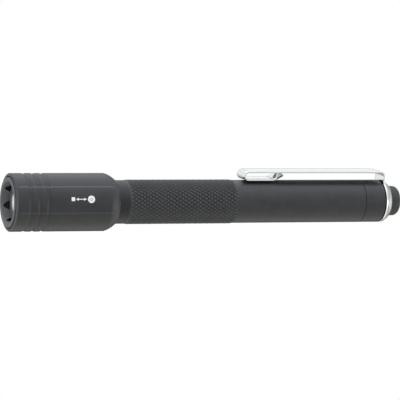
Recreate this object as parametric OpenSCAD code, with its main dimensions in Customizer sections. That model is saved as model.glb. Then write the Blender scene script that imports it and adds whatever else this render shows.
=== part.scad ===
// Pocket penlight with a sliding focus head, a knurled barrel for two AAA
// cells, a screwed tail cap with a push switch, and a sprung pocket clip.
// All sizes in millimetres. The light's axis runs along X with the head
// towards -X, the clip is on top (+Z), and the lowest point of the head
// is at Z = 0, in the middle of the length.

/* [Overall] */
// Length from the front rim to the end of the button
overall_len = 138.5; // [138.3:0.1:138.9]
// Outer diameter of the focus head
head_d = 19.0; // [18.8:0.1:19.4]
// Outer diameter of the plain barrel and of the tail cap
barrel_d = 14.3; // [14.2:0.05:14.4]

/* [Focus head] */
// Length of the head sleeve
head_len = 36.2; // [36:0.1:36.4]
// Distance that the head slides forward
focus_travel = 6; // [4:0.5:6]
// Position of the first of the three grip grooves
groove_u = 5.2; // [5:0.1:5.4]
// Spacing of the grip grooves
groove_pitch = 3.05; // [2.8:0.05:3.2]
// Depth of the grip grooves
groove_depth = 0.32; // [0.2:0.02:0.4]
// Diameter of the clear front opening
opening_d = 13.5; // [13.2:0.1:13.8]
// Number of triangular notches round the front opening
notch_count = 7; // [6:1:9]

/* [Barrel] */
// Start of the knurled grip, from the front rim
knurl_u = 39.8; // [39.4:0.1:40.2]
// Length of the knurled grip
knurl_len = 38.3; // [36:0.1:39]
// Outer diameter over the knurl
knurl_d = 14.68; // [14.5:0.02:14.7]
// Diameter of the cell bore
bore_d = 11.0; // [10.9:0.05:11]

/* [Tail] */
// Joint between the barrel and the tail cap, from the front rim
seam_u = 124.3; // [124.2:0.05:124.35]
// Rear face of the tail cap, from the front rim
cap_end = 131.8; // [131.7:0.05:131.8]
// Rear end of the conical tail nut
nut_end = 134.9; // [134.5:0.05:135]
// Diameter of the rubber button
button_d = 10; // [9.6:0.1:10]
// Travel of the button
button_travel = 1.2; // [0.8:0.1:1.2]

/* [Clip] */
// Thickness of the clip's sheet steel
clip_t = 0.7; // [0.6:0.05:0.7]
// Width of the clip
clip_w = 6.8; // [6:0.1:7]
// Foremost point of the clip's curled tip
clip_nose = 80.85; // [80.5:0.05:82]

/* [Hidden] */
$fn = 96;
head_r = head_d / 2;
barrel_r = barrel_d / 2;
knurl_r = knurl_d / 2;
bore_r = bore_d / 2;
open_r = opening_d / 2;
btn_r = button_d / 2;
axis_z = head_r;
neck_r = 6.32;            // screwed neck of the tail cap
socket_r = 6.40;          // screwed socket in the barrel's rear end
ring_end = cap_end + clip_t;

// Lays a shape that is built along +Z (distance u from the front rim) down
// along X: local -x becomes up, local y stays Y.
module lay() translate([-overall_len / 2, 0, axis_z]) rotate([0, 90, 0]) children();

// A turned piece from its half profile, [radius, distance from the rim].
module turned(pts) lay() rotate_extrude() polygon(pts);

// A round ring of wire or rubber.
module torus(u, r, s) lay() translate([0, 0, u]) rotate_extrude() translate([r, 0]) circle(r = s, $fn = 32);

// Points on an arc in the profile plane.
function arc(cx, cy, r, a0, a1, n) = [for (i = [0:n]) let (a = a0 + (a1 - a0) * i / n) [cx + r * cos(a), cy + r * sin(a)]];

// Points on a quadratic curve.
function bez(p0, p1, p2, n) = [for (i = [0:n]) let (t = i / n) (1 - t) * (1 - t) * p0 + 2 * t * (1 - t) * p1 + t * t * p2];

// Outline of a strip of thickness t that follows a path.
function _dir(p, i) = let (a = p[max(i - 1, 0)], b = p[min(i + 1, len(p) - 1)], d = b - a) d / norm(d);
function strip(p, t) = concat(
    [for (i = [0:len(p) - 1]) let (d = _dir(p, i)) p[i] + [-d[1], d[0]] * t / 2],
    [for (j = [0:len(p) - 1]) let (i = len(p) - 1 - j, d = _dir(p, i)) p[i] - [-d[1], d[0]] * t / 2]);

// A bent flat strip: path in [distance from the rim, height over the axis].
module bent(p, t, w) translate([-overall_len / 2, w / 2, axis_z]) rotate([90, 0, 0]) linear_extrude(w) polygon(strip(p, t));

// A coil of round wire along the axis, from u0 to u1, radius r0 to r1.
module coil(u0, u1, r0, r1, turns, s, per = 18, sides = 8) {
    n = round(turns * per);
    pts = [for (i = [0:n]) let (f = i / n, a = 360 * turns * f, r = r0 + (r1 - r0) * f, u = u0 + (u1 - u0) * f)
           for (k = [0:sides - 1]) let (b = 360 * k / sides) [(r + s * cos(b)) * cos(a), (r + s * cos(b)) * sin(a), u + s * sin(b)]];
    faces = concat([[for (k = [0:sides - 1]) k]],
        [for (i = [0:n - 1]) for (k = [0:sides - 1]) let (k2 = (k + 1) % sides)
         [i * sides + k, (i + 1) * sides + k, (i + 1) * sides + k2, i * sides + k2]],
        [[for (k = [0:sides - 1]) n * sides + sides - 1 - k]]);
    lay() polyhedron(points = pts, faces = faces, convexity = 10);
}

// ---------------------------------------------------------------- barrel

// Anodised tube: slide neck inside the head, raised knurl band, plain rear
// part, bore for the cells and a socket for the tail cap's thread.
module barrel() color([0.16, 0.16, 0.17]) turned([
    [bore_r, 18.5], [barrel_r - 0.3, 18.5], [barrel_r, 18.8],
    [barrel_r, 19.15], [6.7, 19.15], [6.7, 20.25], [barrel_r, 20.25],
    [barrel_r, 27.85], [6.36, 27.85], [6.36, 28.95], [barrel_r, 28.95],
    [barrel_r, knurl_u - 0.2], [knurl_r, knurl_u],
    [knurl_r, knurl_u + knurl_len], [barrel_r, knurl_u + knurl_len + 0.2],
    [barrel_r, seam_u - 0.15], [barrel_r - 0.15, seam_u],
    [socket_r, seam_u], [socket_r, 116.2], [bore_r, 116.2]]);

// Split snap ring at the front of the barrel that stops the head.
module stop_ring() color([0.55, 0.56, 0.58]) difference() {
    turned([[6.72, 19.2], [7.92, 19.2], [7.92, 20.2], [6.72, 20.2]]);
    translate([-overall_len / 2 + 18, -1.2, axis_z - 9]) cube([4, 2.4, 4]);
}

// Rubber ring that holds the head where it is pushed.
module focus_o_ring() color([0.07, 0.07, 0.07]) torus(28.4, 6.77, 0.4);

// Brass heat sink that is pressed into the front of the barrel.
module led_pill() color([0.72, 0.56, 0.27]) turned([
    [0, 16.6], [6.4, 16.6], [6.6, 16.8], [6.6, 18.5], [bore_r - 0.02, 18.5],
    [bore_r - 0.02, 29.4], [4.7, 29.4], [4.7, 22], [0, 22]]);

// Round metal-core board of the light-emitting diode.
module led_board() color([0.92, 0.92, 0.9]) turned([[0, 15.6], [4.6, 15.6], [4.6, 16.6], [0, 16.6]]);

// Square ceramic package of the diode.
module led_emitter() color([0.95, 0.93, 0.82])
    translate([-overall_len / 2 + 14.9, -1.725, axis_z - 1.725]) cube([0.7, 3.45, 3.45]);

// Clear dome on the diode.
module led_dome() color([0.95, 0.85, 0.3]) turned(concat(arc(0, 14.9, 1.3, -90, 0, 10)));

// Insulating ring that centres the diode.
module led_insulator() color([0.85, 0.85, 0.83]) difference() {
    turned([[0, 14.95], [4.4, 14.95], [4.4, 15.6], [0, 15.6]]);
    translate([-overall_len / 2 + 14, -1.78, axis_z - 1.78]) cube([3, 3.56, 3.56]);
}

// Driver board in the rear of the heat sink.
module driver_board() color([0.1, 0.35, 0.2]) turned([[0, 27.6], [4.65, 27.6], [4.65, 28.6], [0, 28.6]]);

// Brass contact button for the front cell.
module driver_contact() color([0.8, 0.65, 0.3]) turned([[0, 28.6], [2.0, 28.6], [2.0, 29.4], [1.7, 29.7], [0, 29.7]]);

// One AAA cell with its positive end at distance u.
module cell(u) turned([[0, u], [1.7, u], [1.9, u + 0.2], [1.9, u + 0.9], [4.8, u + 0.9], [5.22, u + 1.3],
                       [5.22, u + 44.2], [4.9, u + 44.5], [0, u + 44.5]]);
module battery_front() color([0.75, 0.75, 0.77]) cell(29.7);
module battery_rear() color([0.75, 0.75, 0.77]) cell(74.2);

// ------------------------------------------------------------ focus head

// Turned sleeve with a bevelled front lip, three grip grooves, a rounded
// rear shoulder, a wide front bore and a narrow rear bearing bore.
function head_groove(g) = [[head_r, g - 0.65], [head_r - groove_depth, g - 0.35], [head_r - groove_depth, g + 0.35], [head_r, g + 0.65]];
module head_sleeve() color([0.16, 0.16, 0.17]) turned(concat(
    [[8.45, 0.42], [8.6, 0.27], [head_r - 0.12, 0.6], [head_r, 0.76]],
    head_groove(groove_u), head_groove(groove_u + groove_pitch), head_groove(groove_u + 2 * groove_pitch),
    bez([head_r, head_len - 3.6], [head_r - 0.55, head_len - 1.5], [7.62, head_len], 8),
    [[7.45, head_len], [7.2, head_len - 0.25], [7.2, 26.5], [8.1, 26.5], [8.1, 5.0], [8.45, 5.0]]));

// Threaded ring that holds the lens and forms the front rim. Triangular
// notches are cut into its inner wall from the lens side.
module lens_retainer() color([0.2, 0.2, 0.21]) difference() {
    turned([[open_r, 0.2], [open_r + 0.15, 0], [8.15, 0], [8.22, 0.07], [8.22, 1.2], [8.41, 1.2], [8.41, 2.85], [open_r, 2.85]]);
    lay() for (k = [0:notch_count - 1]) rotate([0, 0, 22.5 + 360 * k / notch_count])
        translate([open_r - 1, 0, 0]) rotate([90, 0, 90]) linear_extrude(1.85) polygon([[-1.47, 3.05], [-1.47, 2.85], [0, 0.85], [1.47, 2.85], [1.47, 3.05]]);
}

// Clear moulded collimating lens with a domed centre and a rear pocket for
// the diode.
module lens() color([0.85, 0.9, 0.95, 0.5]) turned(concat(
    bez([0, 2.1], [2.0, 2.1], [3.3, 2.65], 6),
    [[3.3, 2.85], [8.2, 2.85], [8.2, 3.4], [7.15, 3.4], [3.0, 14.2], [2.4, 14.2], [2.3, 10.1]],
    bez([2.3, 10.1], [1.3, 9.5], [0, 9.4], 5)));

// Rubber ring behind the rim of the lens.
module lens_o_ring() color([0.07, 0.07, 0.07]) torus(3.8, 7.74, 0.4);

// Black moulded cup round the lens.
module lens_holder() color([0.06, 0.06, 0.06]) turned([
    [6.94, 4.2], [8.35, 4.2], [8.35, 5.0], [8.0, 5.0], [8.0, 7.0], [4.3, 14.4], [3.05, 14.4]]);

// ------------------------------------------------------------------ tail

// Anodised cap with a screwed neck, a ring groove and a stepped bore.
module tail_cap() color([0.16, 0.16, 0.17]) turned([
    [5.45, 116.6], [6.1, 116.6], [neck_r, 116.85],
    [neck_r, 122.05], [5.84, 122.05], [5.84, 122.75], [neck_r, 122.75],
    [neck_r, seam_u + 0.1], [barrel_r - 0.15, seam_u + 0.1], [barrel_r, seam_u + 0.25],
    [barrel_r, cap_end - 0.4], [barrel_r - 0.08, cap_end - 0.32], [6.72, cap_end - 0.32], [6.72, cap_end],
    [6.35, cap_end], [6.35, 127], [5.45, 127]]);

// Rubber ring on the tail cap's neck.
module tail_o_ring() color([0.07, 0.07, 0.07]) torus(122.4, 6.1, 0.25);

// Polished nut that clamps the clip's ring and guides the button.
module tail_nut() color([0.8, 0.8, 0.82]) turned([
    [5.7, 127.1], [6.3, 127.1], [6.3, ring_end], [6.9, ring_end], [7.02, ring_end + 0.12],
    [7.02, ring_end + 0.3], [btn_r + 0.3, nut_end - 0.05], [btn_r + 0.1, nut_end], [btn_r + 0.1, 131.2], [5.7, 131.2]]);

// Clip path: up the leg at the rear, over the bend and along the strip to
// the curled tip. Distance from the rim and height over the axis.
leg_u = cap_end + clip_t / 2;
bend_r = 1.55;
bend_c = [leg_u - bend_r, 8.6];
split_u = bend_c[0] - 0.15;
strip_z = bend_c[1] + bend_r;
curl_r = 1.3;
curl_c = [clip_nose + curl_r + clip_t / 2, 7.65 + curl_r];
base_path = concat([[leg_u, 6.6]], arc(bend_c[0], bend_c[1], bend_r, 0, 90, 8), [[split_u, strip_z]]);
arm_path = concat(
    [[split_u - 0.05, strip_z]], bez([126.5, 10.21], [121.5, 10.25], [116, 10.25], 4), [[101, 10.26], [86, 10.26]],
    arc(curl_c[0], curl_c[1], curl_r, 90, 270, 14),
    bez([90.6, 7.65], [91.8, 7.65], [92.8, 8.2], 4), [[94.9, 9.3]]);

// Ring and leg of the clip, clamped between the cap and the nut.
module clip_base() color([0.82, 0.83, 0.85]) union() {
    turned([[6.36, cap_end], [7.2, cap_end], [7.2, ring_end], [6.36, ring_end]]);
    bent(base_path, clip_t, clip_w);
}

// Sprung arm of the clip with its curled tip.
module clip_arm() color([0.82, 0.83, 0.85]) bent(arm_path, clip_t, clip_w);

// ---------------------------------------------------------------- switch

// Moulded switch body in the tail cap.
module switch_housing() color([0.12, 0.12, 0.12]) turned([
    [0, 123.9], [5.4, 123.9], [5.4, 127.6], [5.0, 128.0], [2.6, 128.0], [2.6, 124.9], [0, 124.9]]);

// Board that carries the switch and the cell spring.
module switch_board() color([0.1, 0.35, 0.2]) turned([[0, 122.9], [5.4, 122.9], [5.4, 123.9], [0, 123.9]]);

// Threaded brass ring that holds the board in the cap.
module switch_retainer() color([0.72, 0.56, 0.27]) turned([[4.4, 121.9], [5.42, 121.9], [5.42, 122.9], [4.4, 122.9]]);

// Conical contact spring for the rear cell.
module battery_spring() color([0.7, 0.71, 0.73]) coil(119.15, 122.58, 2.4, 3.6, 4, 0.3);

// Return spring of the button.
module switch_spring() color([0.7, 0.71, 0.73]) coil(125.1, 128.18, 1.45, 1.45, 4.5, 0.17);

// Moulded plunger under the button.
module switch_plunger() color([0.8, 0.8, 0.78]) turned([
    [1.8, 126.6], [2.5, 126.6], [2.5, 129.6], [0, 129.6], [0, 128.4], [1.8, 128.4]]);

// Rubber button with a retaining flange and a rounded end.
module tail_button() color([0.1, 0.1, 0.1]) turned(concat(
    [[0, 129.6], [5.5, 129.6], [5.5, 130.9], [btn_r, 130.9]],
    arc(btn_r - 1.3, overall_len - 1.6, 1.3, 0, 70, 6), [[1.6, overall_len - 0.06], [0, overall_len]]));

barrel();
stop_ring();
focus_o_ring();
led_pill();
led_board();
led_emitter();
led_dome();
led_insulator();
driver_board();
driver_contact();
battery_front();
battery_rear();
head_sleeve();
lens_retainer();
lens();
lens_o_ring();
lens_holder();
tail_cap();
tail_o_ring();
tail_nut();
clip_base();
clip_arm();
switch_housing();
switch_board();
switch_retainer();
battery_spring();
switch_spring();
switch_plunger();
tail_button();
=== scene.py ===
import math

import bmesh
import bpy
from mathutils import Matrix, Vector


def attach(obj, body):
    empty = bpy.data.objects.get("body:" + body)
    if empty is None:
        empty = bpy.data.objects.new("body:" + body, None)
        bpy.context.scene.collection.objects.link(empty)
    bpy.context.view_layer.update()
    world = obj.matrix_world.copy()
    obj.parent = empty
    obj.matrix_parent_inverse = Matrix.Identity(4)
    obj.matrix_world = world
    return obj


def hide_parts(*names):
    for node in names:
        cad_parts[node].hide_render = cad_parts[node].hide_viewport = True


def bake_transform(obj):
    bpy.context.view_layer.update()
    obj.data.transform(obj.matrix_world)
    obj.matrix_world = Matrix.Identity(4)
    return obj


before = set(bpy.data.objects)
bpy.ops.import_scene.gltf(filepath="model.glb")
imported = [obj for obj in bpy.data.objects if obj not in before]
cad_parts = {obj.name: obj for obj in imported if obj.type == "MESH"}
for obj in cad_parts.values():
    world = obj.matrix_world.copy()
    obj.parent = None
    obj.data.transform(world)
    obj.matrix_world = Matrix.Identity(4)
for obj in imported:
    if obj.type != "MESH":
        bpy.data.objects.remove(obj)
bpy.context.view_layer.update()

# The light lies along X: u is the distance from the front rim in millimetres,
# r the distance from the axis, and an angle of 0 is the near side (-Y), 90
# degrees the top, where the clip is.
MM = 0.001
HALF = 69.25
AXIS = 9.5
TAU = 2 * math.pi


def at(u, r, a):
    return ((u - HALF) * MM, -r * math.cos(a) * MM, (AXIS + r * math.sin(a)) * MM)


def smooth(x, a, b):
    t = min(1.0, max(0.0, (x - a) / (b - a)))
    return t * t * (3 - 2 * t)


# ------------------------------------------------------------ mesh helpers


def mesh_object(name, verts, faces, angle=30, **attributes):
    """A mesh piece with outward normals, smooth but for its real edges."""
    me = bpy.data.meshes.new(name)
    me.from_pydata(verts, [], faces)
    for key, values in attributes.items():
        me.attributes.new(key, "FLOAT", "POINT").data.foreach_set("value", values)
    bm = bmesh.new()
    bm.from_mesh(me)
    bmesh.ops.remove_doubles(bm, verts=bm.verts, dist=2e-7)
    bmesh.ops.dissolve_degenerate(bm, edges=bm.edges, dist=1e-7)
    bmesh.ops.recalc_face_normals(bm, faces=bm.faces)
    bm.to_mesh(me)
    bm.free()
    me.shade_smooth()
    me.set_sharp_from_angle(angle=math.radians(angle))
    ob = bpy.data.objects.new(name, me)
    bpy.context.scene.collection.objects.link(ob)
    return ob


def soften(corners, closed=True):
    """Half section with rounded corners. A corner is (u, r), (u, r, rounding)
    or (u, r, rounding, wear); the result is a list of (u, r, wear)."""
    out, n = [], len(corners)
    for i, c in enumerate(corners):
        p = Vector(c[:2])
        f = c[2] if len(c) > 2 else 0
        w = c[3] if len(c) > 3 else 0.0
        if f == 0 or (not closed and i in (0, n - 1)):
            out.append((p.x, p.y, w))
            continue
        v1 = (Vector(corners[i - 1][:2]) - p).normalized()
        v2 = (Vector(corners[(i + 1) % n][:2]) - p).normalized()
        half = math.acos(max(-1.0, min(1.0, v1.dot(v2)))) / 2
        reach = f / math.tan(half)
        centre = p + (v1 + v2).normalized() * f / math.sin(half)
        a0 = (p + v1 * reach) - centre
        turn = math.pi - 2 * half
        sign = 1 if a0.x * (p - centre).y - a0.y * (p - centre).x > 0 else -1
        steps = max(2, math.ceil(math.degrees(turn) / 15))
        hold = 0.45 * f
        q = p + v1 * (reach + hold)
        out.append((q.x, q.y, 0.0))
        for k in range(steps + 1):
            b = sign * turn * k / steps
            q = centre + Vector((a0.x * math.cos(b) - a0.y * math.sin(b), a0.x * math.sin(b) + a0.y * math.cos(b)))
            out.append((q.x, q.y, w))
        q = p + v2 * (reach + hold)
        out.append((q.x, q.y, 0.0))
    return out


def turned(name, section, seg=180, angles=None, closed=True, shape=None, marks=None, split=None, angle=30):
    """A turned piece from its half section of (u, r, wear) points. shape moves
    a point by its angle, marks gives it a second mask, and split says where a
    face is cut into two triangles along its lower diagonal."""
    angs = angles or [TAU * k / seg for k in range(seg)]
    m, n = len(angs), len(section)
    verts, rows, wear, line = [], [], [], []
    for i, (u, r, w) in enumerate(section):
        if r < 1e-6:
            rows.append([len(verts)] * m)
            verts.append(at(u, 0, 0))
            wear.append(w)
            line.append(0.0)
            continue
        rows.append(list(range(len(verts), len(verts) + m)))
        for k, a in enumerate(angs):
            rr, ww = shape(i, k, u, r, w) if shape else (r, w)
            verts.append(at(u, rr, a))
            wear.append(ww)
            line.append(marks(i, k, u, a) if marks else 0.0)
    radius = [math.hypot(v[1], v[2] - AXIS * MM) for v in verts]
    faces = []
    for i in range(n if closed else n - 1):
        a, b = rows[i], rows[(i + 1) % n]
        for k in range(m):
            q = (a[k], a[(k + 1) % m], b[(k + 1) % m], b[k])
            if split and split(i):
                if radius[q[0]] + radius[q[2]] < radius[q[1]] + radius[q[3]]:
                    faces += [(q[0], q[1], q[2]), (q[0], q[2], q[3])]
                else:
                    faces += [(q[0], q[1], q[3]), (q[1], q[2], q[3])]
                continue
            q = tuple(dict.fromkeys(q))
            if len(q) > 2:
                faces.append(q)
    return mesh_object(name, verts, faces, angle, wear=wear, line=line)


def bezier(p0, p1, p2, n):
    return [tuple((1 - t) ** 2 * a + 2 * t * (1 - t) * b + t * t * c for a, b, c in zip(p0, p1, p2)) for t in (k / n for k in range(n + 1))]


def arc(cx, cy, r, a0, a1, n):
    return [(cx + r * math.cos(math.radians(a0 + (a1 - a0) * k / n)), cy + r * math.sin(math.radians(a0 + (a1 - a0) * k / n))) for k in range(n + 1)]


# --------------------------------------------------------------- materials


class Shader:
    """A procedural material built on one Principled shader."""

    def __init__(self, name):
        self.mat = bpy.data.materials.new(name)
        self.mat.use_nodes = True
        self.tree = self.mat.node_tree
        self.bsdf = self.tree.nodes["Principled BSDF"]
        self.coord = self.node("ShaderNodeTexCoord").outputs["Object"]

    def node(self, kind, **settings):
        n = self.tree.nodes.new(kind)
        for k, v in settings.items():
            setattr(n, k, v)
        return n

    def link(self, a, b):
        self.tree.links.new(a, b)

    def noise(self, scale, detail=2.0, rough=0.5, stretch=(1, 1, 1)):
        m = self.node("ShaderNodeMapping")
        m.inputs["Scale"].default_value = stretch
        self.link(self.coord, m.inputs["Vector"])
        t = self.node("ShaderNodeTexNoise")
        t.inputs["Scale"].default_value = scale
        t.inputs["Detail"].default_value = detail
        t.inputs["Roughness"].default_value = rough
        self.link(m.outputs["Vector"], t.inputs["Vector"])
        return t.outputs["Fac"]

    def span(self, value, low, high, a=0.3, b=0.7):
        m = self.node("ShaderNodeMapRange")
        m.inputs["From Min"].default_value = a
        m.inputs["From Max"].default_value = b
        m.inputs["To Min"].default_value = low
        m.inputs["To Max"].default_value = high
        self.link(value, m.inputs["Value"])
        return m.outputs["Result"]

    def math(self, op, a, b):
        m = self.node("ShaderNodeMath", operation=op)
        for socket, v in zip(m.inputs, (a, b)):
            if hasattr(v, "is_linked"):
                self.link(v, socket)
            else:
                socket.default_value = v
        return m.outputs["Value"]

    def ramp(self, value, *stops):
        r = self.node("ShaderNodeValToRGB")
        e = r.color_ramp.elements
        while len(e) < len(stops):
            e.new(0.5)
        for k, (pos, colour) in enumerate(stops):
            e[k].position = pos
            e[k].color = (*colour, 1)
        self.link(value, r.inputs["Fac"])
        return r.outputs["Color"]

    def mix(self, factor, a, b):
        m = self.node("ShaderNodeMix", data_type="RGBA")
        self.link(factor, m.inputs["Factor"])
        for socket, v in ((m.inputs[6], a), (m.inputs[7], b)):
            if hasattr(v, "is_linked"):
                self.link(v, socket)
            else:
                socket.default_value = (*v, 1)
        return m.outputs[2]

    def attribute(self, name):
        return self.node("ShaderNodeAttribute", attribute_name=name).outputs["Fac"]

    def bump(self, *layers):
        """Layers of (height, strength, distance in metres), one on another."""
        normal = None
        for height, strength, distance in layers:
            b = self.node("ShaderNodeBump")
            b.inputs["Strength"].default_value = strength
            b.inputs["Distance"].default_value = distance
            self.link(height, b.inputs["Height"])
            if normal is not None:
                self.link(normal, b.inputs["Normal"])
            normal = b.outputs["Normal"]
        self.link(normal, self.bsdf.inputs["Normal"])

    def set(self, **sockets):
        for k, v in sockets.items():
            socket = self.bsdf.inputs[k.replace("_", " ")]
            if hasattr(v, "is_linked"):
                self.link(v, socket)
            elif isinstance(v, tuple):
                socket.default_value = (*v, 1)
            else:
                socket.default_value = v
        return self.mat


def anodised(name, dark, light, worn, rough, lines, specular=0.5):
    """Satin black anodised aluminium: fine blast grain, faint turning lines,
    thin bright wear on the edges."""
    s = Shader(name)
    cloud = s.noise(260, 3)
    grain = s.noise(5200, 2, 0.6)
    turning = s.noise(1.0, 2, 0.6, (5200, 60, 60))
    base = s.ramp(cloud, (0.35, dark), (0.65, light))
    edge = s.math("MULTIPLY", s.attribute("wear"), s.span(s.noise(1500, 3, 0.7), 0.25, 1.0, 0.35, 0.6))
    base = s.mix(edge, base, worn)
    base = s.mix(s.attribute("line"), base, (0.135, 0.135, 0.14))
    roughness = s.math("ADD", s.span(cloud, rough - 0.035, rough + 0.035), s.span(grain, -0.03, 0.03))
    s.bump((grain, 0.10, 0.00002), (turning, lines, 0.00001))
    return s.set(Base_Color=base, Roughness=roughness, Specular_IOR_Level=specular)


def chrome(name, tone, rough):
    """Bright plated steel with fine hairline scratches and faint smears."""
    s = Shader(name)
    smear = s.noise(180, 3, 0.6)
    hair = s.noise(1.0, 3, 0.7, (160, 5200, 5200))
    base = s.ramp(smear, (0.3, tuple(0.96 * c for c in tone)), (0.7, tone))
    roughness = s.math("ADD", s.span(smear, rough * 0.8, rough * 1.25), s.span(hair, 0.0, 0.05, 0.55, 0.75))
    s.bump((hair, 0.03, 0.00001), (smear, 0.02, 0.00004))
    return s.set(Base_Color=base, Roughness=roughness, Metallic=1.0)


def plain(name, dark, light, rough, grain_scale, grain, metallic=0.0, specular=0.5):
    """Moulded, turned or painted surface with grain and uneven gloss."""
    s = Shader(name)
    cloud = s.noise(grain_scale / 9, 3)
    fine = s.noise(grain_scale, 2, 0.6)
    base = s.ramp(cloud, (0.32, dark), (0.68, light))
    roughness = s.math("ADD", s.span(cloud, rough - 0.05, rough + 0.05), s.span(fine, -0.04, 0.04))
    s.bump((fine, grain, 0.00003))
    return s.set(Base_Color=base, Roughness=roughness, Metallic=metallic, Specular_IOR_Level=specular)


def rubber(name):
    """Matt silicone rubber with a fine moulded texture and some dust."""
    s = Shader(name)
    cloud = s.noise(420, 3)
    fine = s.noise(6800, 2, 0.6)
    base = s.ramp(cloud, (0.3, (0.024, 0.024, 0.022)), (0.7, (0.044, 0.044, 0.040)))
    base = s.mix(s.span(s.noise(3200, 2, 0.8), 0.0, 0.16, 0.60, 0.78), base, (0.16, 0.16, 0.155))
    roughness = s.math("ADD", s.span(cloud, 0.56, 0.68), s.span(fine, -0.05, 0.05))
    s.bump((fine, 0.22, 0.00003), (cloud, 0.08, 0.00006))
    return s.set(Base_Color=base, Roughness=roughness, Specular_IOR_Level=0.45)


def clear(name, tint, rough):
    """Clear moulded acrylic with faint flow marks."""
    s = Shader(name)
    flow = s.noise(300, 2)
    base = s.ramp(flow, (0.3, tuple(0.97 * c for c in tint)), (0.7, tint))
    s.bump((flow, 0.04, 0.00003))
    return s.set(Base_Color=base, Roughness=s.span(flow, rough * 0.6, rough * 1.5), Transmission_Weight=1.0, IOR=1.49)


M_BODY = anodised("anodised_black", (0.0155, 0.0158, 0.0168), (0.0215, 0.0218, 0.0228), (0.105, 0.105, 0.11), 0.40, 0.10)
M_TUBE = anodised("anodised_tube", (0.0185, 0.0187, 0.0196), (0.0250, 0.0252, 0.0261), (0.105, 0.105, 0.11), 0.40, 0.10)
M_KNURL = anodised("anodised_knurl", (0.0186, 0.0188, 0.0196), (0.0264, 0.0267, 0.0276), (0.10, 0.10, 0.105), 0.36, 0.04)
# A darker copy of the tube's anodising for the neck behind the head: painted shade.
M_NECK_PAINTED_SHADE = anodised("anodised_neck_painted_shade", (0.0064, 0.0065, 0.0067), (0.0096, 0.0097, 0.0099), (0.06, 0.06, 0.062), 0.38, 0.08, 0.45)
M_RING = anodised("anodised_ring", (0.060, 0.061, 0.063), (0.074, 0.075, 0.077), (0.16, 0.16, 0.165), 0.42, 0.10)
# A lighter copy of the ring's anodising for the ring's inner wall: painted light.
M_WALL_PAINTED_LIGHT = anodised("anodised_wall_painted_light", (0.148, 0.149, 0.152), (0.182, 0.183, 0.186), (0.24, 0.24, 0.245), 0.45, 0.10)
# Near-black with almost no gloss for the backs of the notches and the gap at the cap's rear end: painted shade.
M_GAP_PAINTED_SHADE = plain("black_gap_painted_shade", (0.0018, 0.0018, 0.0019), (0.0032, 0.0032, 0.0033), 0.75, 4200, 0.10, 0.0, 0.06)
# Dark floor of the notch recesses in the front ring: painted shade.
M_PIT_PAINTED_SHADE = plain("pit_painted_shade", (0.030, 0.031, 0.036), (0.044, 0.045, 0.050), 0.6, 4200, 0.10, 0.0, 0.2)
M_CLIP = chrome("chrome_clip", (0.88, 0.90, 0.85), 0.10)
# Dark olive chrome for the clip's upturned lip: a painted dark reflection of the black barrel seen under the strip.
M_LIP_PAINTED_REFLECTION = chrome("clip_lip_painted_reflection", (0.12, 0.117, 0.08), 0.30)
M_NUT = chrome("chrome_nut", (0.44, 0.44, 0.425), 0.20)
M_RUBBER = rubber("rubber_black")
M_SEAL = plain("rubber_seal", (0.010, 0.010, 0.010), (0.018, 0.018, 0.018), 0.5, 5200, 0.12)
M_PRINT = plain("white_print", (0.82, 0.82, 0.765), (0.88, 0.88, 0.825), 0.55, 6200, 0.10)
M_GREY = plain("grey_print", (0.42, 0.42, 0.415), (0.50, 0.50, 0.495), 0.55, 6200, 0.10)
M_LENS = clear("clear_acrylic", (0.97, 0.985, 0.99), 0.02)
M_CORE = plain("frosted_core", (0.70, 0.71, 0.71), (0.78, 0.79, 0.79), 0.35, 5200, 0.05)
# Opaque grey for the lens's frosted rim, drawn as frosted plastic looks in shadow: painted shade.
M_FROST_PAINTED_SHADE = plain("frosted_rim_painted_shade", (0.105, 0.106, 0.107), (0.140, 0.141, 0.142), 0.45, 5200, 0.08)
M_DOME = clear("clear_silicone", (0.99, 0.95, 0.75), 0.05)
M_BLACK = plain("black_moulding", (0.012, 0.012, 0.012), (0.020, 0.020, 0.020), 0.5, 4200, 0.10)
M_WHITE = plain("white_moulding", (0.70, 0.70, 0.68), (0.80, 0.80, 0.78), 0.45, 4200, 0.08)
M_GREEN = plain("green_board", (0.012, 0.085, 0.035), (0.018, 0.115, 0.050), 0.35, 2600, 0.06)
M_MCB = plain("white_board", (0.74, 0.74, 0.72), (0.82, 0.82, 0.80), 0.4, 2600, 0.06)
M_EMIT = plain("phosphor", (0.80, 0.62, 0.12), (0.88, 0.72, 0.20), 0.5, 5200, 0.08)
M_BRASS = plain("turned_brass", (0.55, 0.40, 0.16), (0.66, 0.50, 0.23), 0.28, 3600, 0.06, 1.0)
M_STEEL = plain("spring_steel", (0.42, 0.42, 0.43), (0.56, 0.56, 0.57), 0.30, 3600, 0.06, 1.0)
M_CELL = plain("cell_sleeve", (0.10, 0.105, 0.12), (0.14, 0.145, 0.16), 0.35, 1800, 0.04)


def dress(ob, *mats):
    ob.data.materials.clear()
    for m in mats:
        ob.data.materials.append(m)
    return ob


for mat, nodes in (
    (M_STEEL, ("stop_ring", "battery_spring")),
    (M_SEAL, ("focus_o_ring", "lens_o_ring", "tail_o_ring")),
    (M_BRASS, ("led_pill", "driver_contact", "switch_retainer")),
    (M_MCB, ("led_board",)),
    (M_EMIT, ("led_emitter",)),
    (M_WHITE, ("led_insulator", "switch_plunger")),
    (M_GREEN, ("driver_board", "switch_board")),
    (M_CELL, ("battery_front", "battery_rear")),
    (M_BLACK, ("lens_holder", "switch_housing")),
):
    for node in nodes:
        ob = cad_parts[node]
        if not ob.material_slots:
            ob.data.materials.append(mat)
        for s in ob.material_slots:
            s.material = mat


def stand_for(ob, body, slot, *nodes):
    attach(ob, body)
    if nodes:
        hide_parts(*nodes)
    return ob


# ------------------------------------------------------------------ barrel

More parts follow.
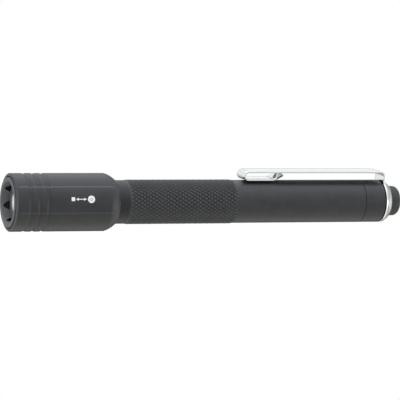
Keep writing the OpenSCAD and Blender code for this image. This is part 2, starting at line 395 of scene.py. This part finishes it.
# Diamond knurl: two crossing sets of V grooves with flattened tips, six mesh
# rows and columns to a diamond, so every groove runs along mesh edges.
AROUND = 35
PER = 6
KNURL_0 = 39.8
KNURL_ROWS = 112
KNURL_P = 2.051
KNURL_1 = KNURL_0 + KNURL_ROWS * KNURL_P / PER
KNURL_DEPTH = 0.33
BARREL_R = 7.15


def groove(phase, width=0.38):
    d = abs(phase - round(phase))
    return max(0.0, 1 - d / width)


def knurl(k, j, u):
    fade = smooth(u, KNURL_0, KNURL_0 + 1.0) * (1 - smooth(u, KNURL_1 - 1.0, KNURL_1))
    g = max(groove((k + j) / PER), groove((k - j) / PER))
    return BARREL_R + 0.19 * fade - KNURL_DEPTH * fade * g, (1 - g) ** 2 * fade * 0.22


front = soften([
    (18.5, 5.5, 0.1), (18.5, BARREL_R, 0.28, 0.6), (19.15, BARREL_R, 0.06, 0.6), (19.15, 6.7), (20.25, 6.7), (20.25, BARREL_R, 0.06, 0.6),
    (27.85, BARREL_R, 0.06, 0.6), (27.85, 6.36), (28.95, 6.36), (28.95, BARREL_R, 0.06, 0.6), (KNURL_0 - 0.3, BARREL_R)], closed=False)
front[0] = (18.5, 5.5, 0.0)
knurled = [(KNURL_0 + KNURL_P * j / PER, BARREL_R, 0.0) for j in range(KNURL_ROWS + 1)]
rear = [(KNURL_1 + 0.3, BARREL_R, 0.0)] + [(u, BARREL_R, 0.0) for u in (90.0, 101.0, 112.0)] + soften([
    (120.0, BARREL_R), (124.3, BARREL_R, 0.22, 0.1), (124.3, 6.4, 0.1, 0.2), (116.2, 6.4, 0.1), (116.2, 5.5, 0.1), (60.0, 5.5)], closed=False)
section = front + knurled + rear
first = len(front)
last = first + len(knurled) - 1


def barrel_shape(i, k, u, r, w):
    return knurl(k, i - first, u) if first <= i <= last else (r, w)


barrel = turned("barrel_tube", section, seg=AROUND * PER, shape=barrel_shape, split=lambda i: first <= i < last)
dress(barrel, M_TUBE, M_KNURL, M_NECK_PAINTED_SHADE)
# The barrel in front of the knurl takes the darker neck copy, which is painted shade; the knurl takes its own
# anodising.
for p in barrel.data.polygons:
    u = p.center.x / MM + HALF
    if math.hypot(p.center.y, p.center.z - AXIS * MM) > 6.2 * MM and u < KNURL_1 + 0.05:
        p.material_index = 1 if u > KNURL_0 - 0.05 else 2
stand_for(barrel, "barrel", "anodised", "barrel")

# -------------------------------------------------------------- focus head

# Sleeve with a rounded lip, three soft ring grooves and a rounded rear
# shoulder. Two fine engraved lines run along it, one on each side of the mark.
GROOVES = (5.2, 8.25, 11.3)
LINES = ((math.radians(40.2), 0.50), (math.radians(-13.9), 0.18))


def ring_groove(u):
    for g in GROOVES:
        d = abs(u - g) / 0.82
        if d < 1:
            return 0.34 * (0.5 + 0.5 * math.cos(math.pi * d)) ** 0.8
    return 0.0


lip = soften([(5.0, 8.1), (5.0, 8.45), (0.42, 8.45, 0.04), (0.27, 8.6, 0.06, 0.3), (0.60, 9.38, 0.10, 0.4), (0.76, 9.5, 0.12, 0.4), (1.6, 9.5)], closed=False)
grooved = []
u = 1.9
while u < 14.0:
    grooved.append((u, 9.5 - ring_groove(u), 0.0))
    u += 0.11 if any(abs(u - g) < 0.95 for g in GROOVES) else 0.3
plain_part = [(u, 9.5, 0.0) for u in (14.5, 18.0, 22.0, 26.0, 30.0, 32.2)]
shoulder = [(u, r, 0.0) for r, u in bezier((9.5, 32.6), (8.95, 34.5), (7.56, 36.05), 18)] + [(36.15, 7.50, 0.0)]
back = soften([(36.15, 7.50), (36.2, 7.40, 0.03), (35.98, 7.2, 0.03), (26.5, 7.2, 0.1), (26.5, 8.1, 0.1), (15.0, 8.1)], closed=False)[1:]
section = lip + grooved + plain_part + shoulder + back
outer_0 = len(lip) - 1
outer_1 = len(lip) + len(grooved) + len(plain_part) + 6
angles = [TAU * k / 180 for k in range(180)]
for centre, _ in LINES:
    angles = [a for a in angles if abs((a - centre + math.pi) % TAU - math.pi) > math.radians(4.0)]
    angles += [(centre + math.radians(d)) % TAU for d in (-3.4, -2.6, -2.0, -1.4, -0.7, 0.0, 0.7, 1.4, 2.0, 2.6, 3.4)]
angles.sort()


def near_line(a):
    """How deep in an engraved line an angle is, from 0 to 1, and how bright that line is."""
    for centre, bright in LINES:
        d = abs((a - centre + math.pi) % TAU - math.pi) / math.radians(2.5)
        if d < 1.0:
            return 1 - d, bright
    return 0.0, 0.0


def head_shape(i, k, u, r, w):
    if outer_0 <= i <= outer_1:
        r -= 0.03 * near_line(angles[k])[0]
    return r, w


def head_marks(i, k, u, a):
    if not outer_0 <= i <= outer_1:
        return 0.0
    depth, bright = near_line(a)
    return depth * bright


head = turned("head_shell", section, angles=angles, shape=head_shape, marks=head_marks)
dress(head, M_BODY)
stand_for(head, "focus_head", "anodised", "head_sleeve")

# Printed focus mark: a small square, a double arrow and a disc, as a thin
# raised film that follows the curve of the head.
MARK_A = math.radians(14.1)
HEAD_R = 9.5


def film(shapes, name, low=-0.03, high=0.022):
    """Closed film on the head from flat shapes: lists of (u, across) points and faces."""
    verts, faces = [], []
    for pts, polys in shapes:
        n, base = len(pts), len(verts)
        for h in (high, low):
            verts += [at(u, HEAD_R + h, MARK_A + s / HEAD_R) for u, s in pts]
        edges = {}
        for f in polys:
            faces.append(tuple(base + v for v in f))
            faces.append(tuple(base + n + v for v in reversed(f)))
            for a, b in zip(f, f[1:] + f[:1]):
                edges[(a, b)] = True
        for a, b in edges:
            if (b, a) not in edges:
                faces.append((base + b, base + a, base + n + a, base + n + b))
    return mesh_object(name, verts, faces, 40)


def disc(u, s, r, rings=6, seg=48):
    pts, polys = [(u, s)], []
    for k in range(1, rings + 1):
        for j in range(seg):
            pts.append((u + r * k / rings * math.cos(TAU * j / seg), s + r * k / rings * math.sin(TAU * j / seg)))
    for j in range(seg):
        polys.append((0, 1 + j, 1 + (j + 1) % seg))
    for k in range(rings - 1):
        for j in range(seg):
            a, b = 1 + k * seg, 1 + (k + 1) * seg
            polys.append((a + j, b + j, b + (j + 1) % seg, a + (j + 1) % seg))
    return pts, polys


def hoop(u, s, r0, r1, rings=3, seg=48):
    pts = [(u + r * math.cos(TAU * j / seg), s + r * math.sin(TAU * j / seg)) for r in (r0 + (r1 - r0) * k / rings for k in range(rings + 1)) for j in range(seg)]
    polys = [(k * seg + j, (k + 1) * seg + j, (k + 1) * seg + (j + 1) % seg, k * seg + (j + 1) % seg) for k in range(rings) for j in range(seg)]
    return pts, polys


def patch(u, s, w, h, n=8, corner=0.12):
    pts = []
    for j in range(n + 1):
        for i in range(n + 1):
            x, y = (i / n - 0.5) * w, (j / n - 0.5) * h
            cx, cy = max(0, abs(x) - (w / 2 - corner)), max(0, abs(y) - (h / 2 - corner))
            far = math.hypot(cx, cy)
            if far > corner:
                x -= math.copysign(cx * (1 - corner / far), x)
                y -= math.copysign(cy * (1 - corner / far), y)
            pts.append((u + x, s + y))
    polys = [(j * (n + 1) + i, j * (n + 1) + i + 1, (j + 1) * (n + 1) + i + 1, (j + 1) * (n + 1) + i) for j in range(n) for i in range(n)]
    return pts, polys


def double_arrow(u0, u1, s, half, head_half, head_len):
    pts = [(u0, s), (u0 + head_len, s + head_half), (u0 + head_len, s + half), (u0 + head_len, s - half), (u0 + head_len, s - head_half)]
    n = 8
    for k in range(n + 1):
        u = u0 + head_len + (u1 - u0 - 2 * head_len) * k / n
        pts += [(u, s + half), (u, s - half)]
    e = len(pts)
    pts += [(u1 - head_len, s + head_half), (u1 - head_len, s - head_half), (u1, s)]
    polys = [(0, 4, 6, 5, 1)]
    for k in range(n):
        a = 5 + 2 * k
        polys.append((a, a + 1, a + 3, a + 2))
    polys.append((e, e - 2, e - 1, e + 1, e + 2))
    used = sorted({v for f in polys for v in f})
    index = {v: k for k, v in enumerate(used)}
    return [pts[v] for v in used], [tuple(index[v] for v in f) for f in polys]


mark = film([patch(19.26, 0.04, 1.19, 1.25), double_arrow(20.15, 23.85, 0.0, 0.13, 0.46, 0.95), disc(25.44, -0.03, 1.21)], "focus_mark")
dress(mark, M_PRINT)
stand_for(mark, "focus_head", "white_plastic")
inner = film([hoop(25.44, -0.03, 0.26, 0.54)], "focus_mark_hoop", 0.015, 0.030)
dress(inner, M_GREY)
stand_for(inner, "focus_head", "white_plastic")

# Ring in the front opening. Triangular notches open into its inner wall, each
# with its point to the front.
RING_IN, RING_OUT, RING_END = 6.75, 8.41, 2.85
NOTCHES, NOTCH_U = 7, 0.70
NOTCH_HALF = 1.56 / RING_IN
verts, rows = [], []
columns = []
for k in range(NOTCHES):
    step = TAU / NOTCHES
    centre = math.radians(-16.1) + step * k
    inside = [NOTCH_HALF * j / 6 for j in range(-6, 7)]
    gap = step - 2 * NOTCH_HALF
    columns += [(centre + d, abs(d)) for d in inside]
    columns += [(centre + NOTCH_HALF + gap * j / 8, None) for j in range(1, 8)]
for a, d in columns:
    # the wall angle is measured from +Y in the notches' own layout
    aa = math.pi - a
    edge = RING_END if d is None else NOTCH_U + (RING_END - NOTCH_U) * (d / NOTCH_HALF) ** 1.5
    deep = RING_IN if d is None or d >= NOTCH_HALF - 1e-9 else 7.6
    loop = [(0.27, RING_IN), (edge, RING_IN), (edge, deep), (RING_END, deep), (RING_END, RING_OUT - 0.05), (RING_END - 0.05, RING_OUT), (1.2, RING_OUT), (1.2, 8.22),
            (0.16, 8.22), (0.09, 8.219), (0.045, 8.205), (0.012, 8.175), (0.0, 8.13), (0.0, 8.05), (0.0, 7.5), (0.0, 7.0), (0.0, 6.94), (0.012, 6.89), (0.12, 6.80), (0.19, RING_IN + 0.012)]
    rows.append([len(verts) + j for j in range(len(loop))])
    verts += [at(u, r, aa) for u, r in loop]
faces = []
for c in range(len(rows)):
    a, b = rows[c], rows[(c + 1) % len(rows)]
    for j in range(len(a)):
        faces.append((a[j], a[(j + 1) % len(a)], b[(j + 1) % len(a)], b[j]))
wear = [0.0] * len(verts)
for row in rows:
    for j in (17, 18):
        wear[row[j]] = 0.35
ring = mesh_object("front_ring", verts, faces, 30, wear=wear, line=[0.0] * len(verts))
dress(ring, M_RING, M_PIT_PAINTED_SHADE, M_WALL_PAINTED_LIGHT)
for p in ring.data.polygons:
    u, r = p.center.x / MM + HALF, math.hypot(p.center.y, p.center.z - AXIS * MM) / MM
    # The floors of the notch recesses take the dark material, which is painted shade.
    if u > 0.5 and RING_IN + 0.06 < r < 7.7:
        p.material_index = 1
    # The inner wall takes the lighter copy, which is painted light.
    elif u > 0.2 and r < RING_IN + 0.06:
        p.material_index = 2
stand_for(ring, "focus_head", "anodised", "lens_retainer")

# Collimating lens: domed centre, frosted rim, cone and a pocket for the diode.
section = [(u, r, 0.0) for r, u in bezier((0, 2.1), (2.0, 2.1), (3.3, 2.65), 12)]
section += soften([(2.65, 3.3), (2.85, 3.3, 0.02), (2.85, 6.72), (2.85, 8.2, 0.06), (3.4, 8.2, 0.06), (3.4, 7.15, 0.1), (14.2, 3.0, 0.12), (14.2, 2.4, 0.1), (10.1, 2.3)], closed=False)[1:]
section += [(u, r, 0.0) for r, u in bezier((2.3, 10.1), (1.3, 9.5), (0, 9.4), 10)][1:]
lens = turned("lens_body", section, seg=144, closed=False, angle=25)
dress(lens, M_LENS, M_CORE, M_FROST_PAINTED_SHADE, M_GAP_PAINTED_SHADE)
# The lens flange behind the ring, seen at the back of the notches, takes the near-black material: painted shade.
for p in lens.data.polygons:
    c = p.center
    # The frosted rim between the dome and the flange takes the opaque grey, which is painted shade.
    if c.x / MM + HALF < 2.87:
        r = math.hypot(c.y, c.z - AXIS * MM) / MM
        p.material_index = 1 if r < 3.31 else 2 if r < 6.72 else 3
stand_for(lens, "focus_head", "clear", "lens")

# Clear dome on the diode.
section = [(u, r, 0.0) for r, u in arc(0, 14.9, 1.3, -90, 0, 14)] + [(14.9, 0.0, 0.0)]
diode_dome = turned("diode_dome", section, seg=48, closed=False)
dress(diode_dome, M_DOME)
stand_for(diode_dome, "barrel", "clear", "led_dome")

# -------------------------------------------------------------------- tail

# Cap with a screwed neck: eight mesh rows to a turn of the thread.
THREAD_0, THREAD_1, THREAD_P = 117.3, 121.3, 0.75
neck = soften([(127.0, 5.45), (116.6, 5.45, 0.1), (116.6, 6.32, 0.25, 0.4), (THREAD_0 - 0.2, 6.32)], closed=False)[1:]
rows_n = round((THREAD_1 - THREAD_0) / THREAD_P * 8)
thread = [(THREAD_0 + (THREAD_1 - THREAD_0) * j / rows_n, 6.32, 0.0) for j in range(rows_n + 1)]
shell = soften([
    (121.6, 6.32), (122.05, 6.32, 0.05, 0.4), (122.05, 5.84, 0.05), (122.75, 5.84, 0.05), (122.75, 6.32, 0.05, 0.4), (124.4, 6.32, 0.1),
    (124.4, BARREL_R, 0.22, 0.1), (131.40, BARREL_R, 0.06), (131.40, 6.72, 0.03), (131.8, 6.72, 0.03), (131.8, 6.35, 0.05),
    (127.0, 6.35, 0.05), (127.0, 5.45, 0.05), (120.0, 5.45)], closed=False)
section = neck + thread + shell
t0 = len(neck)


def cap_shape(i, k, u, r, w):
    if t0 <= i < t0 + len(thread):
        phase = u / THREAD_P - k / 144
        tri = abs(phase - math.floor(phase) - 0.5) * 2
        depth = 0.30 * smooth(u, THREAD_0, THREAD_0 + 0.6) * (1 - smooth(u, THREAD_1 - 0.6, THREAD_1))
        cut = min(1.0, max(0.0, 1.25 * tri - 0.12))
        return r - depth * cut, 0.3 * (1 - cut)
    return r, w


cap = turned("tail_cap_shell", section, seg=144, shape=cap_shape)
dress(cap, M_TUBE, M_GAP_PAINTED_SHADE)
# The cap's rear end, in the gap before the clip's ring, takes the near-black material: painted shade.
for p in cap.data.polygons:
    if p.center.x / MM + HALF > 131.39:
        p.material_index = 1
stand_for(cap, "tail_cap", "anodised", "tail_cap")

# Conical nut behind the clip's ring.
cone = [(u, r, 0.0) for u, r in bezier((132.80, 7.0), (134.0, 6.34), (134.82, 5.37), 14)]
nut = turned("tail_nut_body", soften([
    (134.88, 5.27), (134.9, 5.1, 0.05), (131.2, 5.1, 0.05), (131.2, 5.7, 0.05),
    (127.1, 5.7, 0.05), (127.1, 6.3, 0.1), (132.5, 6.3, 0.05), (132.5, 7.02, 0.07), (132.7, 7.02)], closed=False) + cone, seg=168)
dress(nut, M_NUT)
stand_for(nut, "tail_cap", "polished", "tail_nut")

# Rubber button with a shallow ring round its crown.
crown = [(u, r, 0.0) for r, u in arc(3.30, 136.8, 1.70, 0, 66, 14)]
dome = [(u, r, 0.0) for u, r in ((138.40, 3.35), (138.44, 2.7), (138.47, 1.9), (138.49, 1.0), (138.5, 0.0))]
section = [(129.6, 0.0, 0.0)] + soften([(129.6, 0.01), (129.6, 5.5, 0.12), (130.9, 5.5, 0.12), (130.9, 5.0, 0.08), (136.0, 5.0)], closed=False)[1:] + crown + dome
button = turned("rubber_button", section, seg=144, closed=False, angle=40)
dress(button, M_RUBBER)
stand_for(button, "button", "rubber", "tail_button")

# Return spring of the button, squeezed between the switch body and the plunger.
COIL_U0, COIL_U1, COIL_R, COIL_TURNS, COIL_S = 125.1, 128.18, 1.45, 4.5, 0.17
steps_n, sides = 162, 10
verts, faces = [], []
for i in range(steps_n + 1):
    for k in range(sides):
        b = TAU * k / sides
        verts.append(at(COIL_U0 + (COIL_U1 - COIL_U0) * i / steps_n + COIL_S * math.sin(b), COIL_R + COIL_S * math.cos(b), TAU * COIL_TURNS * i / steps_n))
for i in range(steps_n):
    for k in range(sides):
        k2 = (k + 1) % sides
        faces.append((i * sides + k, (i + 1) * sides + k, (i + 1) * sides + k2, i * sides + k2))
faces += [tuple(range(sides)), tuple(steps_n * sides + k for k in reversed(range(sides)))]
spring = mesh_object("button_spring", verts, faces, 60)
dress(spring, M_STEEL)
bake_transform(spring)
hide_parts("switch_spring")

# -------------------------------------------------------------------- clip

# One bent strip with rounded edges, swept along its path of (u, height over
# the axis), and the ring that the nut clamps.
CLIP_T, CLIP_W = 0.7, 6.8
leg_u = 132.15
path = [(leg_u, 6.8), (leg_u, 7.0), (leg_u, 7.3), (leg_u, 7.65), (leg_u, 8.0), (leg_u, 8.35)]
path += arc(130.6, 8.6, 1.55, 0, 90, 22)
for u in (130.2, 129.6, 128.9, 128.2, 127.4, 126.5, 125.5, 124.4, 123.2, 122.0, 120.5, 118.5, 116.0, 113.0, 109.0, 105.0, 101.0, 97.0, 93.0, 89.0, 86.0, 84.0):
    far = (130.6 - u) / 1.864
    path.append((u, 10.26 - 0.11 * (1 + far) * math.exp(-far)))
path += arc(82.5, 8.96, 1.3, 90, 250, 34) + [(82.33, 7.652), (82.8, 7.65), (83.5, 7.65)]
path += [(84.5, 7.65), (87.0, 7.65), (89.4, 7.65)] + bezier((90.6, 7.65), (91.8, 7.65), (92.8, 8.2), 12)
path += [(93.6, 8.619), (94.2, 8.933), (94.45, 9.064), (94.65, 9.169), (94.78, 9.237), (94.86, 9.279), (94.9, 9.3)]
half, thick, corner = CLIP_W / 2, CLIP_T / 2, 0.17
outline = []
for cy, cn, a0 in ((1, 1, 0), (-1, 1, 90), (-1, -1, 180), (1, -1, 270)):
    for k in range(5):
        a = math.radians(a0 + 90 * k / 4)
        outline.append((cy * (half - corner) + corner * math.cos(a), cn * (thick - corner) + corner * math.sin(a)))
    if a0 in (0, 180):
        s = 1 if a0 == 0 else -1
        for k in range(1, 8):
            outline.append((s * (half - corner) * (1 - 2 * k / 8), s * thick))
total = len(path)
verts, rows = [], []
for i, (u, h) in enumerate(path):
    a, b = path[max(i - 1, 0)], path[min(i + 1, total - 1)]
    d = Vector((b[0] - a[0], b[1] - a[1])).normalized()
    nrm = Vector((-d.y, d.x))
    left = math.hypot(path[-1][0] - u, path[-1][1] - h) if i > total - 9 else 9.0
    narrow = 0.0 if left >= 0.7 else 0.7 * (1 - math.sqrt(max(0.0, 1 - (1 - left / 0.7) ** 2)))
    flare = 1 + 0.16 * max(0.0, 1 - i / 4) ** 2
    row = []
    for y, nn in outline:
        yy = math.copysign(max(0.0, abs(y) - narrow * abs(y) / half), y) * flare
        uu, hh = u + nrm.x * nn, h + nrm.y * nn
        if i == 0:
            hh = math.sqrt(6.8 ** 2 - yy ** 2)
        elif i < 5:
            hh -= (6.8 - math.sqrt(6.8 ** 2 - yy ** 2)) * (1 - i / 5) ** 2
        row.append(len(verts))
        verts.append(((uu - HALF) * MM, -yy * MM, (AXIS + hh) * MM))
    rows.append(row)
m = len(outline)
faces = [tuple((rows[i][k], rows[i][(k + 1) % m], rows[i + 1][(k + 1) % m], rows[i + 1][k])) for i in range(total - 1) for k in range(m)]
faces += [tuple(rows[0]), tuple(reversed(rows[-1]))]
clip = mesh_object("pocket_clip", verts, faces, 35)
collar = turned("clip_collar", soften([(131.8, 6.36, 0.06), (131.8, 7.2, 0.09), (132.5, 7.0, 0.12), (132.5, 6.36, 0.06)]), seg=168)
join = clip.modifiers.new("join", "BOOLEAN")
join.operation = "UNION"
join.solver = "EXACT"
join.object = collar
bpy.context.view_layer.update()
merged = bpy.data.meshes.new_from_object(clip.evaluated_get(bpy.context.evaluated_depsgraph_get()))
clip.modifiers.clear()
clip.data = merged
merged.name = "pocket_clip"
bm = bmesh.new()
bm.from_mesh(merged)
bmesh.ops.remove_doubles(bm, verts=bm.verts, dist=4e-6)
bmesh.ops.dissolve_degenerate(bm, edges=bm.edges, dist=2e-6)
bmesh.ops.triangulate(bm, faces=[f for f in bm.faces if len(f.verts) > 4])
bmesh.ops.recalc_face_normals(bm, faces=bm.faces)
bm.to_mesh(merged)
bm.free()
bpy.data.objects.remove(collar)
merged.shade_smooth()
merged.set_sharp_from_angle(angle=math.radians(35))
dress(clip, M_CLIP, M_LIP_PAINTED_REFLECTION)
# The sides, underside and end of the upturned lip take the dark chrome, which is a painted dark reflection.
for p in merged.polygons:
    u, h = p.center.x / MM + HALF, p.center.z / MM - AXIS
    if 92.6 < u < 95.4 and h < 9.7 and (abs(p.normal.y) > 0.6 or p.normal.x > 0.4):
        p.material_index = 1
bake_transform(clip)
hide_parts("clip_base", "clip_arm")

# ------------------------------------------------------------------- stage

scene = bpy.context.scene
floor_mesh = bpy.data.meshes.new("floor")
floor_mesh.from_pydata([(-6, -6, -0.0002), (6, -6, -0.0002), (6, 6, -0.0002), (-6, 6, -0.0002)], [], [(0, 1, 2, 3)])
floor = bpy.data.objects.new("floor", floor_mesh)
scene.collection.objects.link(floor)
paper = bpy.data.materials.new("white_paper")
paper.use_nodes = True
shader = paper.node_tree.nodes["Principled BSDF"]
shader.inputs["Base Color"].default_value = (0, 0, 0, 1)
shader.inputs["Specular IOR Level"].default_value = 0.0
shader.inputs["Emission Color"].default_value = (1, 1, 1, 1)
shader.inputs["Emission Strength"].default_value = 1.0
floor_mesh.materials.append(paper)
floor.visible_diffuse = False
floor.visible_glossy = False
floor.visible_transmission = False
floor.visible_shadow = False

# Soft light from all round: a bright ceiling, a pale ground, soft boxes at the
# front, the rear right and the far left, and a darker low strip behind, which
# draws the dark edges of the polished and satin surfaces.
world = bpy.data.worlds.new("studio")
scene.world = world
world.use_nodes = True
tree = world.node_tree
tree.nodes.clear()
out = tree.nodes.new("ShaderNodeOutputWorld")
back = tree.nodes.new("ShaderNodeBackground")
tree.links.new(back.outputs["Background"], out.inputs["Surface"])
coord = tree.nodes.new("ShaderNodeTexCoord")
unit = tree.nodes.new("ShaderNodeVectorMath")
unit.operation = "NORMALIZE"
tree.links.new(coord.outputs["Generated"], unit.inputs[0])
total_light = None
for direction, power, colour in (
    (None, 0, (0.60, 0.615, 0.655)),
    ((0.0, 0.20, 0.98), 2.2, (1.22, 1.27, 1.40)),
    ((0.0, 0.0, -1.0), 2.0, (0.47, 0.475, 0.32)),
    ((0.0, 1.0, 0.1), 1.5, (0.36, 0.36, 0.36)),
    ((0.88, -0.47, -0.10), 40.0, (1.3, 1.3, 1.3)),
    ((-0.75, -0.65, 0.10), 6.0, (0.15, 0.15, 0.15)),
    ((-0.92, 0.37, -0.14), 14.0, (1.6, 1.6, 1.6)),
    ((0.10, -0.72, 0.69), 3.5, (0.40, 0.40, 0.40)),
    ((0.98, -0.05, -0.10), 12.0, (1.05, 1.05, 1.05)),
):
    term = tree.nodes.new("ShaderNodeVectorMath")
    if direction is None:
        term.operation = "ADD"
        term.inputs[0].default_value = colour
        term.inputs[1].default_value = (0, 0, 0)
    else:
        dot = tree.nodes.new("ShaderNodeVectorMath")
        dot.operation = "DOT_PRODUCT"
        tree.links.new(unit.outputs["Vector"], dot.inputs[0])
        dot.inputs[1].default_value = Vector(direction).normalized()
        keep = tree.nodes.new("ShaderNodeMath")
        keep.operation = "MAXIMUM"
        tree.links.new(dot.outputs["Value"], keep.inputs[0])
        keep.inputs[1].default_value = 0.0
        lobe = tree.nodes.new("ShaderNodeMath")
        lobe.operation = "POWER"
        tree.links.new(keep.outputs["Value"], lobe.inputs[0])
        lobe.inputs[1].default_value = power
        term.operation = "SCALE"
        term.inputs[0].default_value = colour
        tree.links.new(lobe.outputs["Value"], term.inputs["Scale"])
    if total_light is None:
        total_light = term.outputs["Vector"]
    else:
        add = tree.nodes.new("ShaderNodeVectorMath")
        add.operation = "ADD"
        tree.links.new(total_light, add.inputs[0])
        tree.links.new(term.outputs["Vector"], add.inputs[1])
        total_light = add.outputs["Vector"]
axes = tree.nodes.new("ShaderNodeSeparateXYZ")
tree.links.new(unit.outputs["Vector"], axes.inputs["Vector"])


def steps(axis, low, *stops):
    """A piecewise linear value along one axis of the view of the sky."""
    scale = tree.nodes.new("ShaderNodeMapRange")
    scale.inputs["From Min"].default_value = low
    scale.inputs["From Max"].default_value = low + 1
    tree.links.new(axes.outputs[axis], scale.inputs["Value"])
    ramp = tree.nodes.new("ShaderNodeValToRGB")
    e = ramp.color_ramp.elements
    while len(e) < len(stops):
        e.new(0.5)
    for k, (where, v) in enumerate(stops):
        e[k].position = where - low
        e[k].color = (v, v, v, 1)
    tree.links.new(scale.outputs["Result"], ramp.inputs["Fac"])
    return ramp.outputs["Color"]


strip = steps("Z", -0.86, (-0.85, 0.0), (-0.70, 0.6), (-0.55, 1.0), (-0.06, 1.0), (0.04, 0.9), (0.10, 0.0), (0.135, 0.0))
upper = steps("Z", 0.0, (0.17, 0.0), (0.23, 0.75), (0.40, 0.75), (0.52, 0.0))
to_right = steps("X", 0.0, (0.30, 0.38), (0.35, 1.0))
along = steps("X", -0.50, (-0.40, 0.05), (-0.22, 0.45), (-0.06, 0.70), (0.13, 0.84), (0.30, 0.87))
behind = tree.nodes.new("ShaderNodeMapRange")
behind.interpolation_type = "SMOOTHSTEP"
behind.inputs["From Min"].default_value = 0.30
behind.inputs["From Max"].default_value = 0.70
tree.links.new(axes.outputs["Y"], behind.inputs["Value"])
low_part = tree.nodes.new("ShaderNodeMath")
low_part.operation = "MULTIPLY"
tree.links.new(strip, low_part.inputs[0])
tree.links.new(along, low_part.inputs[1])
high_part = tree.nodes.new("ShaderNodeMath")
high_part.operation = "MULTIPLY"
tree.links.new(upper, high_part.inputs[0])
tree.links.new(to_right, high_part.inputs[1])
both = tree.nodes.new("ShaderNodeMath")
both.operation = "MAXIMUM"
tree.links.new(low_part.outputs["Value"], both.inputs[0])
tree.links.new(high_part.outputs["Value"], both.inputs[1])
shade = tree.nodes.new("ShaderNodeMath")
shade.operation = "MULTIPLY"
tree.links.new(both.outputs["Value"], shade.inputs[0])
tree.links.new(behind.outputs["Result"], shade.inputs[1])
left = tree.nodes.new("ShaderNodeMath")
left.operation = "SUBTRACT"
left.inputs[0].default_value = 1.0
tree.links.new(shade.outputs["Value"], left.inputs[1])
lit = tree.nodes.new("ShaderNodeVectorMath")
lit.operation = "SCALE"
tree.links.new(total_light, lit.inputs[0])
tree.links.new(left.outputs["Value"], lit.inputs["Scale"])
seen = tree.nodes.new("ShaderNodeLightPath")
paper_or_sky = tree.nodes.new("ShaderNodeMix")
paper_or_sky.data_type = "RGBA"
tree.links.new(seen.outputs["Is Camera Ray"], paper_or_sky.inputs["Factor"])
tree.links.new(lit.outputs["Vector"], paper_or_sky.inputs[6])
paper_or_sky.inputs[7].default_value = (1, 1, 1, 1)
tree.links.new(paper_or_sky.outputs[2], back.inputs["Color"])
scene.view_settings.view_transform = "Standard"
scene.view_settings.look = "None"

# Camera: a long lens, a little above the light and towards its head.
cam_data = bpy.data.cameras.new("camera")
cam_data.sensor_width = 36.0
cam_data.lens = 256.336
cam = bpy.data.objects.new("camera", cam_data)
scene.collection.objects.link(cam)
yaw, lift, roll = math.radians(21.844), math.radians(8.0), math.radians(2.933)
away = Vector((-math.sin(yaw) * math.cos(lift), -math.cos(yaw) * math.cos(lift), math.sin(lift)))
right = (-away).cross(Vector((0, 0, 1))).normalized()
up = right.cross(-away)
x_axis = right * math.cos(roll) + up * math.sin(roll)
y_axis = up * math.cos(roll) - right * math.sin(roll)
target = Vector((-0.002267, 0.0, 0.009873)) - 0.0001655 * x_axis + 0.000132 * y_axis
basis = Matrix((x_axis, y_axis, away)).transposed().to_4x4()
cam.matrix_world = Matrix.Translation(target + 0.942975 * away) @ basis
cam_data.clip_end = 50
scene.camera = cam
